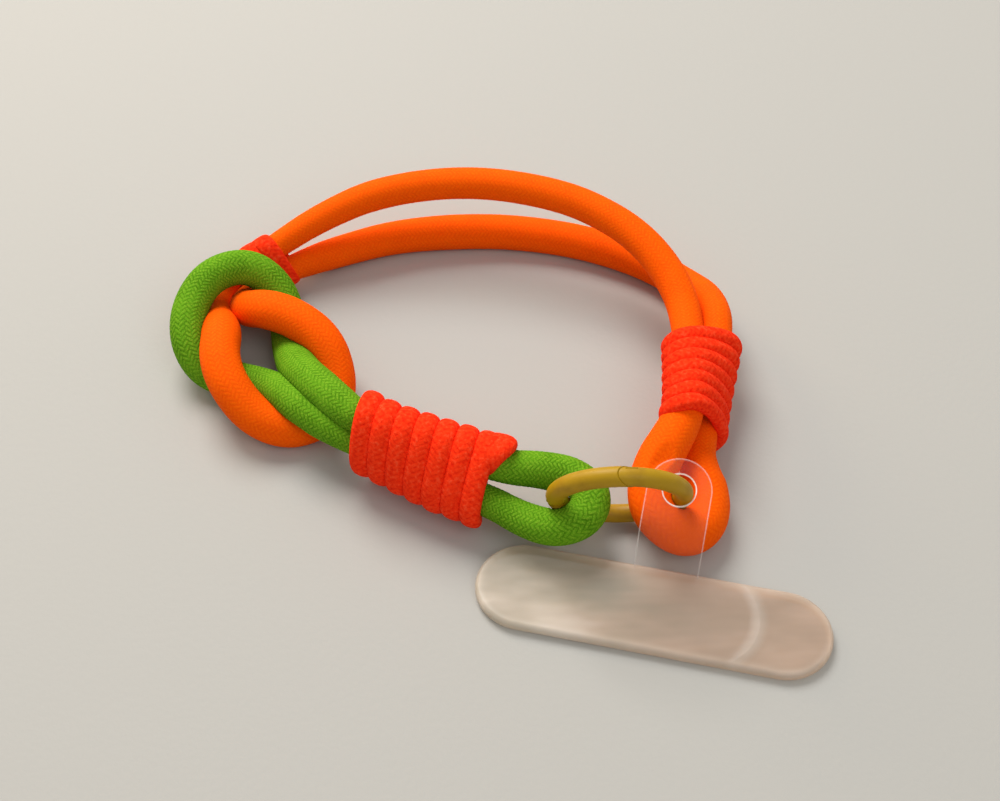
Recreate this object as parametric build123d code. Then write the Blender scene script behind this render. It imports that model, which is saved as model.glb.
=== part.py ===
# Rope phone wrist strap: an orange rope doubled into a wrist loop, a green
# rope doubled into a short link, both looped through each other in a flat
# knot, three red cord whippings, a spring gate ring that closes the loop,
# and a clear tether tab that hangs on the ring and goes inside a phone case.
# Units are millimetres, +Z is up and z = 0 is the surface the strap lies on.
# The origin is the centre of the strap's footprint.
import os
from math import cos, pi, radians, sin, tan

from build123d import *

os.makedirs("parts", exist_ok=True)

# ---------------------------------------------------------------- sizes
CENTRE_SHIFT = (3.3, 7.3, 0.0)      # layout zero to the footprint's centre

ROPE_DIA = 6.0                      # both ropes
CORD_FLAT = 2.2                     # whipping cord, pulled flat on the ropes
CORD_FLAT_KNOT = 1.3                # the same beside the knot, pulled tightest
CORD_ROUND = 1.2                    # rounding of a turn's edges
CORD_OVERLAP = 1.06                 # width of a turn over the winding's pitch

RING_WIRE = 3.2                     # wire of the ring
RING_RADIUS = 10.7                  # centre line of the wire
RING_CENTRE = (20.0, -31.0, 12.2)
RING_LEAN = 20.0                    # degrees from upright, towards -Y

GATE_WIRE = 3.4
PIVOT_ANGLE = 182.0                 # place of the hinge pin round the ring
NOSE_REACH = 15.8                   # hinge pin to the gate's nose
NOSE_GAP = 0.1                      # gate nose to ring body
PIN_DIA = 1.1
PIN_FIT = 0.02                      # running clearance in the tongue
TONGUE_THICK = 1.5
TONGUE_RADIUS = 1.6
TONGUE_ROOT = 2.8                   # hinge pin to the ring's full wire
SLOT_GAP = 0.15                     # tongue to each cheek of the gate
SWING_GAP = 0.15                    # round the tongue and round the cheeks
LATCH_SIZE = (2.0, 1.4, 1.0)        # relief beside the nose
LATCH_PLACE = (1.2, 11.9, -1.4)
BORE_START = (-10.61, 1.38)         # spring bore in the gate, ring's own plane
BORE_END = (-9.20, 5.50)
BORE_DIA = 1.6
PLUNGER_DIA = 1.52
PLUNGER_LENGTH = 1.3
PLUNGER_OUT = 0.25                  # from the bore's mouth
SPRING_WIRE = 0.24
SPRING_DIA = 1.36
SPRING_PITCH = 0.5
SPRING_FREE = 0.1                   # left free at each end of the spring

PAD_LENGTH = 60.0
PAD_WIDTH = 16.5
PAD_THICK = 2.0
PAD_CENTRE = (25.3, -46.5)
PAD_TURN = -12.5                    # degrees about Z
PAD_EDGE = 0.8

NECK_WIDTH = 11.0
NECK_THICK = 0.8
NECK_PLACE = 1.1                    # along the pad, from its middle
NECK_BEND = 2.4                     # bend radius, middle of the sheet
HOLE_DIA = 5.4
HEAD_RADIUS = 5.5
# side view of the neck: out from the pad's middle line, and height
NECK_ROOT = (2.0, 1.0)
NECK_FOOT = (7.6, 1.0)
NECK_SHOULDER = (8.8, 10.4)
NECK_HOLE = (16.2, 13.6)

ARC_SHARE = 0.45                    # share of the shorter run used by an arc

# ---------------------------------------------------------------- routes
# One closed route per rope. It starts and ends at the butt joint, which is
# inside a whipping.
ORANGE_ROUTE = [
    # butt joint in the ring whipping, right side of the ring eye
    (35.8, -6.0, 5.4), (36.2, -14.0, 5.4), (37.4, -20.5, 4.8),
    (38.0, -27.0, 4.0), (35.8, -32.4, 3.8), (31.2, -35.6, 5.0),
    # left side of the ring eye, up over its own start
    (25.0, -32.2, 8.4), (24.0, -27.4, 9.2), (25.8, -22.4, 10.2),
    (29.8, -17.6, 11.6), (33.0, -12.0, 12.2), (33.0, -4.0, 12.0),
    # outer strand, arched clear of the surface
    (33.4, 8.0, 12.0), (32.8, 17.0, 12.6), (28.6, 25.0, 14.6),
    (22.0, 31.5, 16.0), (11.5, 37.5, 17.0), (-5.8, 42.0, 16.5),
    (-23.3, 41.0, 14.8), (-35.0, 37.4, 12.6), (-44.2, 33.4, 10.4),
    # knot: under the green bight, up the left arm, under the green legs
    (-51.6, 29.2, 6.8), (-54.8, 22.0, 3.4), (-53.2, 15.0, 5.2),
    (-51.0, 8.6, 9.2), (-50.8, 2.0, 10.2), (-48.8, -4.4, 9.0),
    (-44.6, -9.6, 5.6), (-38.5, -12.4, 3.0), (-32.2, -10.6, 3.0),
    (-27.6, -5.0, 3.0), (-26.6, 1.8, 5.2), (-30.0, 7.8, 9.0),
    # knot: back along the right arm and under the green bight
    (-36.4, 11.2, 10.4), (-42.4, 12.6, 9.8), (-46.6, 15.8, 6.8),
    (-48.4, 21.4, 3.6), (-45.8, 27.0, 4.2), (-39.6, 31.2, 5.2),
    # inner strand, flat on the surface
    (-31.6, 36.0, 3.4), (-20.0, 40.6, 3.0), (-4.0, 42.0, 3.0),
    (8.0, 40.8, 3.0), (18.5, 38.0, 3.0), (28.5, 33.2, 3.0),
    (36.0, 26.4, 3.2), (39.2, 18.6, 4.4), (38.2, 8.0, 5.2),
    (35.9, -5.6, 5.4),
]
GREEN_ROUTE = [
    # butt joint in the link whipping, front side of the link eye
    (-10.0, -25.2, 6.4), (-2.0, -28.6, 6.2), (4.0, -32.2, 6.2),
    (9.6, -34.8, 7.2), (14.4, -33.2, 8.4), (15.9, -28.8, 9.2),
    (12.8, -24.6, 9.6), (7.0, -23.2, 10.6), (0.8, -23.4, 11.6),
    (-10.0, -20.0, 12.6),
    # knot: over the orange bight, down under the right arm
    (-22.5, -14.4, 13.8), (-29.2, -5.8, 12.4), (-34.8, 1.8, 8.0),
    (-38.6, 9.2, 3.6), (-40.1, 15.6, 3.2), (-41.7, 21.2, 7.6),
    # bight over the orange legs
    (-47.4, 24.0, 12.0), (-54.5, 21.0, 12.2), (-58.4, 14.2, 10.6),
    (-58.4, 7.6, 7.6), (-54.4, 3.4, 3.6), (-46.8, 2.2, 3.0),
    # under the left arm and back to the link whipping
    (-40.6, -2.6, 6.0), (-34.8, -8.4, 9.6), (-29.4, -12.9, 9.0),
    (-22.5, -17.2, 6.8), (-10.5, -24.8, 6.4),
]


# ---------------------------------------------------------------- helpers
def arc_radii(route, fixed=None):
    """Radius of the tangent arc at every inner point of a route."""
    points = [Vector(*p) for p in route]
    radii = []
    for before, here, after in zip(points, points[1:], points[2:]):
        run_in, run_out = here - before, after - here
        turn = radians(run_in.get_angle(run_out))
        widest = ARC_SHARE * min(run_in.length, run_out.length) / tan(turn / 2)
        radii.append(fixed or widest)
    return radii


def rope_wire(route, fixed=None):
    """Straight runs joined by tangent arcs."""
    points = [Vector(*p) for p in route]
    edges, start = [], points[0]
    for before, here, after, radius in zip(points, points[1:], points[2:],
                                           arc_radii(route, fixed)):
        run_in, run_out = (here - before).normalized(), (after - here).normalized()
        half = radians(run_in.get_angle(run_out)) / 2
        reach = radius * tan(half)
        first, last = here - run_in * reach, here + run_out * reach
        to_centre = (run_out - run_in).normalized()
        middle = here + to_centre * (radius / cos(half) - radius)
        edges += [Edge.make_line(start, first), Edge.make_three_point_arc(first, middle, last)]
        start = last
    edges.append(Edge.make_line(start, points[-1]))
    return Wire(edges)


def tube(wire, diameter):
    """Solid round tube along a wire, one sweep per run and per arc."""
    pieces = []
    for edge in wire.edges():
        section = Plane(origin=edge @ 0, z_dir=edge % 0) * Circle(diameter / 2)
        pieces.append(sweep(section, path=Wire([edge])))
    return pieces[0].fuse(*pieces[1:]).clean()


def lerp(a, b, t):
    return Vector(*a) * (1 - t) + Vector(*b) * t


def whipping(turns, start, end, stack_start, stack_end, ropes, flat=CORD_FLAT):
    """Turns of flat cord round a pair of ropes, as one closed solid.

    start and end are the middles of the first and last turn; stack_* point
    from the pair's middle to the centre of one of its two ropes.
    """
    run = Vector(*end) - Vector(*start)
    axis = run.normalized()
    half_width = run.length / (turns - 1) * CORD_OVERLAP / 2
    round_radius = ROPE_DIA / 2 + flat
    rounding = min(CORD_ROUND, flat * 0.6)
    body = None
    for index in range(turns):
        t = index / (turns - 1)
        stack = lerp(stack_start, stack_end, t)
        stack = stack - axis * stack.dot(axis)
        frame = Plane(origin=lerp(start, end, t), x_dir=stack, z_dir=axis)
        outline = SlotCenterToCenter(2 * stack.length, 2 * round_radius)
        turn = extrude(frame * outline, amount=half_width, both=True)
        turn = fillet(turn.edges(), rounding)
        body = turn if body is None else body + turn
    for rope in ropes:
        body = body - rope
    return max(body.solids(), key=lambda s: s.volume)


def save(shape, name):
    """Move a finished piece to the footprint's centre and export it."""
    solids = shape.solids()
    if len(solids) != 1:
        raise ValueError(f"{name}: {len(solids)} solids")
    placed = Pos(*CENTRE_SHIFT) * solids[0]
    placed.label = name
    export_step(placed, f"parts/{name}.step")
    box = placed.bounding_box()
    print(f"{name:20s} volume {placed.volume:9.1f}  "
          f"x {box.min.X:7.2f} {box.max.X:7.2f}  y {box.min.Y:7.2f} {box.max.Y:7.2f}  "
          f"z {box.min.Z:6.2f} {box.max.Z:6.2f}")
    return placed


# ---------------------------------------------------------------- ropes
ropes = {}
for name, route in (("orange_rope", ORANGE_ROUTE), ("green_rope", GREEN_ROUTE)):
    wire = rope_wire(route)
    ropes[name] = tube(wire, ROPE_DIA)
    ideal = pi * (ROPE_DIA / 2) ** 2 * wire.length
    print(f"{name}: length {wire.length:.1f}, least radius {min(arc_radii(route)):.1f}, "
          f"volume over section x length {ropes[name].volume / ideal:.4f}")
    save(ropes[name], name)

# ---------------------------------------------------------------- whippings
orange, green = ropes["orange_rope"], ropes["green_rope"]

whipping_green = whipping(8, (-22.6, -15.8, 10.3), (0.4, -25.8, 9.1),
                          (0.0, 1.3, 3.5), (0.2, 2.8, 2.8), [green])
save(whipping_green, "whipping_green")

whipping_ring_end = whipping(7, (35.8, 3.2, 8.7), (34.8, -12.5, 8.8),
                             (-2.4, 0.0, 3.4), (-1.6, 0.0, 3.4), [orange])
save(whipping_ring_end, "whipping_ring_end")

whipping_knot_end = whipping(3, (-42.6, 31.5, 7.7), (-47.0, 28.7, 6.6),
                             (-0.9, 2.0, 2.6), (-1.6, 2.4, 1.8), [orange, green],
                             CORD_FLAT_KNOT)
save(whipping_knot_end, "whipping_knot_end")

# ---------------------------------------------------------------- ring
ring_place = Location(RING_CENTRE, (90 + RING_LEAN, 0, 0))
pivot = Vector(RING_RADIUS * cos(radians(PIVOT_ANGLE)), RING_RADIUS * sin(radians(PIVOT_ANGLE)))


def ring_sector(wire_dia, from_angle, to_angle):
    """Part of a torus in the ring's own plane, angles in degrees."""
    section = Plane.XZ.offset(0) * Pos(RING_RADIUS, 0) * Circle(wire_dia / 2)
    part = revolve(section, axis=Axis.Z, revolution_arc=to_angle - from_angle)
    return Rot(0, 0, from_angle) * part


def pivot_rod(radius, length):
    return Pos(pivot.X, pivot.Y) * Cylinder(radius, length)


TOOL = 10                           # longer than any cut in the wire

body = ring_sector(RING_WIRE, PIVOT_ANGLE - 360, 100)
upper_half = Pos(0, 20) * Box(60, 30, TOOL)
body = body - (pivot_rod(NOSE_REACH + NOSE_GAP, TOOL) & upper_half)
body = body - pivot_rod(GATE_WIRE / 2 + SWING_GAP, TOOL)
body = body + pivot_rod(TONGUE_RADIUS, TONGUE_THICK)
body = body + Pos(pivot.X, pivot.Y - TONGUE_ROOT / 2) * Box(2.0, TONGUE_ROOT, TONGUE_THICK)
body = body - pivot_rod(PIN_DIA / 2 + PIN_FIT, TOOL)
body = body - Pos(*LATCH_PLACE) * Box(*LATCH_SIZE)
save(ring_place * body, "ring_body")

# gate: from the hinge to the nose, forked round the tongue
gate = ring_sector(GATE_WIRE, 80, PIVOT_ANGLE) + Pos(pivot.X, pivot.Y) * Sphere(GATE_WIRE / 2)
gate = gate & pivot_rod(NOSE_REACH, TOOL)
slot_width = TONGUE_THICK + 2 * SLOT_GAP
gate = gate - pivot_rod(TONGUE_RADIUS + SWING_GAP, slot_width)
gate = gate - Pos(pivot.X, pivot.Y - 2) * Box(6, 4, slot_width)
gate = gate - pivot_rod(PIN_DIA / 2, TOOL)

bore_start = Vector(*BORE_START)
bore_length = (Vector(*BORE_END) - bore_start).length
bore_axis = (Vector(*BORE_END) - bore_start).normalized()


def bore_place(offset):
    """Frame on the bore's axis, z along it, offset mm from its mouth."""
    return Plane(origin=bore_start + bore_axis * offset, z_dir=bore_axis).location


def bore_rod(diameter, length, offset):
    rod = Cylinder(diameter / 2, length, align=(Align.CENTER, Align.CENTER, Align.MIN))
    return bore_place(offset) * rod


gate = gate - bore_rod(BORE_DIA, bore_length + 0.6, -0.6)
save(ring_place * gate, "ring_gate")
save(ring_place * pivot_rod(PIN_DIA / 2, GATE_WIRE - 0.5), "gate_hinge_pin")
save(ring_place * bore_rod(PLUNGER_DIA, PLUNGER_LENGTH, PLUNGER_OUT), "gate_plunger")

spring_start = PLUNGER_OUT + PLUNGER_LENGTH + SPRING_FREE + SPRING_WIRE / 2
spring_height = bore_length - spring_start - SPRING_FREE - SPRING_WIRE / 2
coil = Helix(pitch=SPRING_PITCH, height=spring_height, radius=(SPRING_DIA - SPRING_WIRE) / 2)
coil_section = Plane(origin=coil @ 0, z_dir=coil % 0) * Circle(SPRING_WIRE / 2)
spring = sweep(coil_section, path=coil, is_frenet=True)
save(ring_place * (bore_place(spring_start) * spring), "gate_spring")

# ---------------------------------------------------------------- tether tab
tab_place = Location((PAD_CENTRE[0], PAD_CENTRE[1], 0), (0, 0, PAD_TURN))
side_route = [(NECK_PLACE, out, height)
              for out, height in (NECK_ROOT, NECK_FOOT, NECK_SHOULDER, NECK_HOLE)]
side_wire = rope_wire(side_route, NECK_BEND)
neck_pieces = []
for edge in side_wire.edges():
    section = Plane(origin=edge @ 0, x_dir=(1, 0, 0), z_dir=edge % 0)
    neck_pieces.append(sweep(section * Rectangle(NECK_WIDTH, NECK_THICK), path=Wire([edge])))
head_plane = Plane(origin=side_wire @ 1, x_dir=(1, 0, 0),
                   z_dir=Vector(1, 0, 0).cross(side_wire % 1))
neck = neck_pieces[0].fuse(*neck_pieces[1:])
neck = neck + extrude(head_plane * Circle(HEAD_RADIUS), amount=NECK_THICK / 2, both=True)
neck = neck - extrude(head_plane * Circle(HOLE_DIA / 2), amount=NECK_THICK, both=True)
save(tab_place * neck, "tether_neck")

pad = extrude(SlotOverall(PAD_LENGTH, PAD_WIDTH), amount=PAD_THICK)
pad = fillet(pad.edges(), PAD_EDGE)
pad = pad - neck
save(tab_place * pad, "tether_pad")

# joint places, for the record
shift = Pos(*CENTRE_SHIFT)
print("hinge pin", (shift * ring_place * Pos(pivot.X, pivot.Y)).position)
print("tab hole", (shift * tab_place * Pos(NECK_PLACE, *NECK_HOLE)).position)
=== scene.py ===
"""Rope phone wrist strap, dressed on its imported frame.

Two braided ropes looped through each other, three cord windings, a coated
spring gate ring, and a clear neck on a frosted pad. Lengths are in metres.
"""

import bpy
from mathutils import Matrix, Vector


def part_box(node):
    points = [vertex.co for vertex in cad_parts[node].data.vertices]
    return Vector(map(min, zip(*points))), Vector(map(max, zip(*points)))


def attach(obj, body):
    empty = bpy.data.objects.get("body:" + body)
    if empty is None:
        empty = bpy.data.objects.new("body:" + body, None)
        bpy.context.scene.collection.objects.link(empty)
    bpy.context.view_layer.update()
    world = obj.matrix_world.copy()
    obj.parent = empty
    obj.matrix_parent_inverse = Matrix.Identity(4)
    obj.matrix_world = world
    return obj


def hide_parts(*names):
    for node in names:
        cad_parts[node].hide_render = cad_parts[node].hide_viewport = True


bl_info = {
    "name": "Rope wrist strap",
    "version": (1, 0, 0),
    "blender": (4, 5, 0),
    "location": "View3D > Sidebar > Strap",
    "description": "Makes the ropes, windings, ring finish and tether tab of a phone wrist strap",
    "category": "Object",
}

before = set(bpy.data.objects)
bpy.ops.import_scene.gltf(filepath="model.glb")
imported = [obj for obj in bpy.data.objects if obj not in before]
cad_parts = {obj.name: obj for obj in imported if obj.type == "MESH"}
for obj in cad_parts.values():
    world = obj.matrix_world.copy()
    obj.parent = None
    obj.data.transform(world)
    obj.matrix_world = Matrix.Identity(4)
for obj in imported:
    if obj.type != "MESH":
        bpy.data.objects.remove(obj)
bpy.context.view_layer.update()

from math import cos, pi, radians, sin, tau

import bpy
import numpy as np
from bpy.props import FloatProperty, FloatVectorProperty, IntProperty, PointerProperty
from bpy.types import Operator, Panel, PropertyGroup
from mathutils import Matrix, Vector

# ------------------------------------------------------------------ layout
LAYOUT_SHIFT = np.array((0.0033, 0.0073, 0.0))   # layout zero to the frame's origin
ROPE = 0.0060                                     # rope diameter
FLOOR_GAP = 0.00005
CELL_POINTS = 3                                   # mesh points in each cell of the braid
OWN_SPAN = 3.4 * ROPE                             # nearer along itself, a rope isn't pressed
LEAST_GIRTH = 0.3                                 # share of its girth that pressing leaves

RING_CENTRE = np.array((0.0200, -0.0310, 0.0122)) + LAYOUT_SHIFT
RING_RADIUS = 0.0107
RING_WIRE = 0.0034
RING_LEAN = radians(20)
RING_CLEAR = 0.00008
TILT_STOPS = (1.0, 0.75, 0.5, 0.25, 0.0)          # shares of the tilt that ropes are kept clear at
# The two joints that move the ring and the tab past the ropes: place, axis, range.
TILT = (np.array((0.0233, -0.0216, 0.0067)), np.array((-1.0, 0.0, 0.0)), radians(15))
LIFT = (np.array((0.0331802, -0.0236221, 0.0136)), np.array((-0.976296, 0.216440, 0.0)),
        radians(15))

PAD_CENTRE = Vector((0.0286, -0.0392, 0.0))
PAD_TURN = radians(-12.5)
PAD_LENGTH = 0.0600
PAD_WIDTH = 0.0165

# Each rope's route, the part's points with most moved, by up to 5.5 mm,
# then its girth (radius) at some of those points: pulled in by the windings,
# puffed out in the knot and at the eyes.
ORANGE_ROUTE = [
    (0.0371, -0.0060, 0.0069), (0.0353, -0.0140, 0.0054), (0.0347, -0.0205, 0.0050),
    (0.0359, -0.0266, 0.0041), (0.0346, -0.0314, 0.0040), (0.0308, -0.0340, 0.0050),
    (0.0262, -0.0318, 0.0080), (0.0254, -0.0274, 0.0088), (0.0269, -0.0224, 0.0100),
    (0.0300, -0.0176, 0.0116), (0.0328, -0.0120, 0.0122), (0.0336, -0.0040, 0.0118),
    (0.0346, 0.0080, 0.0106), (0.0334, 0.0170, 0.0118), (0.0286, 0.0250, 0.0146),
    (0.0220, 0.0315, 0.0160), (0.0115, 0.0375, 0.0170), (-0.0058, 0.0420, 0.0165),
    (-0.0233, 0.0410, 0.0146), (-0.0350, 0.0366, 0.0116), (-0.0436, 0.0316, 0.0086),
    (-0.0504, 0.0276, 0.0062), (-0.0548, 0.0220, 0.0034), (-0.0532, 0.0150, 0.0052),
    (-0.0512, 0.0086, 0.0092), (-0.0510, 0.0020, 0.0102), (-0.0490, -0.0036, 0.0090),
    (-0.0446, -0.0080, 0.0054), (-0.0388, -0.0096, 0.0032), (-0.0336, -0.0078, 0.0030),
    (-0.0302, -0.0034, 0.0030), (-0.0300, 0.0018, 0.0052), (-0.0322, 0.0068, 0.0090),
    (-0.0376, 0.0108, 0.0108), (-0.0434, 0.0132, 0.0108), (-0.0478, 0.0162, 0.0074),
    (-0.0484, 0.0214, 0.0036), (-0.0458, 0.0268, 0.0038), (-0.0400, 0.0310, 0.0040),
    (-0.0316, 0.0360, 0.0032), (-0.0200, 0.0406, 0.0030), (-0.0040, 0.0420, 0.0030),
    (0.0080, 0.0408, 0.0030), (0.0185, 0.0380, 0.0030), (0.0285, 0.0332, 0.0030),
    (0.0360, 0.0264, 0.0034), (0.0400, 0.0186, 0.0072), (0.0404, 0.0080, 0.0102),
    (0.0372, -0.0056, 0.0070),
]
ORANGE_GIRTH = {
    0: 0.00275, 1: 0.0030, 2: 0.0041, 4: 0.0041, 6: 0.0040, 8: 0.0039, 9: 0.0036, 10: 0.0030,
    11: 0.00275, 12: 0.0030, 13: 0.0032, 17: 0.00305, 18: 0.0030, 19: 0.0027, 20: 0.0024,
    21: 0.0027, 24: 0.0037, 28: 0.0036, 31: 0.0037, 34: 0.0037, 36: 0.0032, 37: 0.0027,
    38: 0.0024, 39: 0.0030, 41: 0.0035, 44: 0.0034, 46: 0.0032, 47: 0.0029, 48: 0.00275,
}
GREEN_ROUTE = [
    (-0.0100, -0.0243, 0.0066), (-0.0020, -0.0276, 0.0064), (0.0036, -0.0316, 0.0064),
    (0.0092, -0.0344, 0.0072), (0.0142, -0.0332, 0.0084), (0.0159, -0.0288, 0.0092),
    (0.0128, -0.0248, 0.0092), (0.0070, -0.0236, 0.0098), (0.0008, -0.0238, 0.0106),
    (-0.0100, -0.0204, 0.0116), (-0.0230, -0.0155, 0.0118), (-0.0311, -0.0080, 0.0122),
    (-0.0366, 0.0002, 0.0084), (-0.0390, 0.0088, 0.0038), (-0.0401, 0.0156, 0.0032),
    (-0.0417, 0.0212, 0.0074), (-0.0472, 0.0238, 0.0118), (-0.0542, 0.0210, 0.0122),
    (-0.0578, 0.0142, 0.0106), (-0.0578, 0.0076, 0.0076), (-0.0542, 0.0034, 0.0036),
    (-0.0468, 0.0020, 0.0030), (-0.0406, -0.0026, 0.0060), (-0.0350, -0.0086, 0.0086),
    (-0.0296, -0.0130, 0.0082), (-0.0225, -0.0169, 0.0075), (-0.0105, -0.0240, 0.0066),
]
GREEN_GIRTH = {
    0: 0.00275, 1: 0.0028, 2: 0.0031, 4: 0.0034, 6: 0.0034, 8: 0.0029, 9: 0.00275, 10: 0.0029,
    11: 0.0035, 12: 0.0036, 16: 0.0033, 18: 0.0033, 22: 0.0034, 24: 0.0034, 25: 0.0029,
    26: 0.00275,
}

# Windings: middle of the first and last turn, the way from the pair's middle
# to one of its ropes at each end, the turns, the hand of the wind, the angle
# round the pair where a turn is at its own middle, the cord's thickness, its
# width over the pitch, the way that the turns face, how much of the end of the
# wind goes over the upper rope only, and how far the cord slips back along
# the pair at angles before the end. All angles are in degrees.
WINDINGS = {
    "green_link_winding": {
        "node": "whipping_green", "rope": "green", "turns": 8, "hand": 1, "facing": 90,
        "begins": -90, "ends": 130 + 360 * 7, "thickness": 0.0026, "wide": 1.06,
        "faces": (0.92, -0.384, -0.048), "upper_only": 290,
        "slip": ((-320, -200, -110, 0), (0, -0.0048, 0, -0.0042)),
        "start": (-0.0226, -0.0158, 0.0103), "end": (0.0004, -0.0258, 0.0091),
        "stack_start": (0.0, 0.0013, 0.0035), "stack_end": (0.0002, 0.0028, 0.0028),
    },
    "ring_end_winding": {
        "node": "whipping_ring_end", "rope": "orange", "turns": 7, "hand": -1, "facing": 30,
        "begins": -90, "ends": -90 + 360 * 7, "thickness": 0.0026, "wide": 1.06,
        "faces": (0.22, -0.97, -0.10), "upper_only": 0, "slip": ((0, 1), (0, 0)),
        "start": (0.0373, 0.0046, 0.0096), "end": (0.0346, -0.0125, 0.0088),
        "stack_start": (-0.0028, 0.0, 0.0018), "stack_end": (-0.0016, 0.0, 0.0034),
    },
    "knot_end_winding": {
        "node": "whipping_knot_end", "rope": "orange", "turns": 3, "hand": 1, "facing": -90,
        "begins": -270, "ends": -270 + 360 * 3, "thickness": 0.0009, "wide": 1.30,
        "faces": (-0.81, -0.55, -0.18), "upper_only": 0, "slip": ((0, 1), (0, 0)),
        "start": (-0.0438, 0.0302, 0.0068), "end": (-0.0482, 0.0272, 0.0058),
        "stack_start": (-0.0009, 0.0020, 0.0026), "stack_end": (-0.0016, 0.0024, 0.0018),
    },
}

# Side view of the clear neck: out from the pad's middle line, and height.
NECK_SIDE = [(0.0020, 0.0010), (0.0076, 0.0010), (0.0088, 0.0104), (0.0162, 0.0136)]
NECK_PLACE = 0.0011
NECK_HALF = 0.0055
NECK_THICK = 0.0005
NECK_BENDS = (0.0024, 0.0060)                     # radii of its two bends
NECK_RIM = 0.00022                                # rounding of its cut edges
NECK_CLEAR = 0.0002                               # from its underside and sides to a rope
HOLE_RADIUS = 0.0027
HEAD_POINTS = 96                                  # points round the neck's hole
HEAD_RINGS = 6                                    # rows of faces from the hole to the outline
STRIP_ROWS = 60
CEILING_SLOPE = 1.5                               # how fast it rises beside the neck
CEILING_REACH = 0.003                             # rope this far above it is left alone

# The wound cord: points round it, strands, pick, spacing of its rings and the
# power of its rounded-square section; then control places in each turn, the
# degrees over which its ends dive in, and how deep they do.
CORD_SIDES = 28
CORD_CARRIERS = 8
CORD_PICK = 0.0009
CORD_SPACING = 0.0004
CORD_POWER = 2.3
TURN_PLACES = 14
TUCK_SPAN = 40
TUCK_DEPTH = 0.35

FLOOR_HALF = 8.0
LIGHTS = (
    ("key softbox", (-0.25, 0.55, 0.75), 0.60, 9.4, (1.0, 0.975, 0.95)),
    ("warm corner", (-0.75, 0.75, 0.40), 0.40, 3.5, (1.0, 0.72, 0.44)),
    ("front fill", (0.35, -0.55, 0.80), 0.70, 2.0, (0.95, 0.98, 1.0)),
)
ROOM_COLOUR = (0.86, 0.85, 0.83, 1)
ROOM_STRENGTH = 0.56


# --------------------------------------------------------------- materials
class Value:
    """A node socket that takes part in arithmetic; an expression adds its Math nodes."""

    def __init__(self, graph, socket):
        self.graph = graph
        self.socket = socket

    def __add__(self, other):
        return self.graph.math("ADD", self, other)

    __radd__ = __add__

    def __sub__(self, other):
        return self.graph.math("SUBTRACT", self, other)

    def __rsub__(self, other):
        return self.graph.math("SUBTRACT", other, self)

    def __mul__(self, other):
        return self.graph.math("MULTIPLY", self, other)

    __rmul__ = __mul__

    def __truediv__(self, other):
        return self.graph.math("DIVIDE", self, other)

    def __mod__(self, other):
        return self.graph.math("FLOORED_MODULO", self, other)

    def __lt__(self, other):
        return self.graph.math("LESS_THAN", self, other)


class Graph:
    """The nodes of one material."""

    def __init__(self, name):
        self.material = bpy.data.materials.new(name)
        self.material.use_nodes = True
        self.tree = self.material.node_tree
        self.tree.nodes.clear()

    def add(self, kind, settings=None, sockets=None, out=0):
        """Adds a node of a type: its settings first, then its sockets' values or links."""
        node = self.tree.nodes.new(kind)
        for key, value in (settings or {}).items():
            setattr(node, key, value)
        for key, value in (sockets or {}).items():
            if isinstance(value, Value):
                self.tree.links.new(value.socket, node.inputs[key])
            else:
                node.inputs[key].default_value = value
        return Value(self, node.outputs[out])

    def math(self, operation, *values):
        return self.add("ShaderNodeMath", {"operation": operation}, dict(enumerate(values)))

    def floor(self, value):
        return self.math("FLOOR", value)

    def smooth(self, value, low, high):
        """0 below low, 1 above high and smooth between."""
        return self.add("ShaderNodeMapRange", {"interpolation_type": "SMOOTHSTEP"},
                        {"Value": value, "From Min": low, "From Max": high})

    def noise(self, scale, detail=3.0, roughness=0.5, stretch=(1, 1, 1), place=None):
        """Noise in the piece's own coordinates, scale in features a metre."""
        place = place or self.add("ShaderNodeTexCoord", out=3)
        scaled = self.add("ShaderNodeVectorMath", {"operation": "MULTIPLY"},
                          {0: place, 1: stretch})
        return self.add("ShaderNodeTexNoise", {},
                        {"Vector": scaled, "Scale": scale, "Detail": detail,
                         "Roughness": roughness})

    def choose(self, mask, off, on):
        """One number or another by a mask."""
        return self.add("ShaderNodeMix", {"data_type": "FLOAT"}, {0: mask, 2: off, 3: on})

    def blend(self, mask, first, second):
        """One colour or another by a mask."""
        return self.add("ShaderNodeMix", {"data_type": "RGBA"},
                        {0: mask, 6: rgba(first), 7: rgba(second)}, out=2)

    def bump(self, height, distance):
        return self.add("ShaderNodeBump", {}, {"Height": height, "Distance": distance})

    def principled(self, **sockets):
        named = {key.replace("_", " "): value for key, value in sockets.items()}
        return self.add("ShaderNodeBsdfPrincipled", {}, named)

    def map(self, name):
        """The two coordinates of a UV map."""
        places = self.add("ShaderNodeUVMap", {"uv_map": name})
        first = self.add("ShaderNodeSeparateXYZ", {}, {0: places})
        return first, Value(self, first.socket.node.outputs[1])

    def output(self, shader):
        node = self.tree.nodes.new("ShaderNodeOutputMaterial")
        self.tree.links.new(shader.socket, node.inputs["Surface"])
        return self.material


def rgba(colour):
    """A colour as a socket takes it; a link passes through."""
    return colour if isinstance(colour, Value) else (*colour[:3], 1.0)


def braid_height(graph, along, around):
    """Height of a two-over-two braid, 0 in a groove and 1 on a float, and its fine yarns."""
    first = around + along
    second = around - along
    first_whole = graph.floor(first)
    second_whole = graph.floor(second)
    on_top = ((first_whole + second_whole) % 4.0) < 2.0
    across = graph.choose(on_top, second - second_whole, first - first_whole) - 0.5
    run_second = (second_whole + first) % 4.0 - 2.0
    run_first = (first_whole + second) % 4.0
    run = graph.choose(on_top, run_second, run_first) / 2.0 - 0.5
    height = (1.0 - 4.0 * across * across) * (1.0 - 1.6 * run * run)
    return height, graph.math("COSINE", across * (tau * 4))


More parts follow.
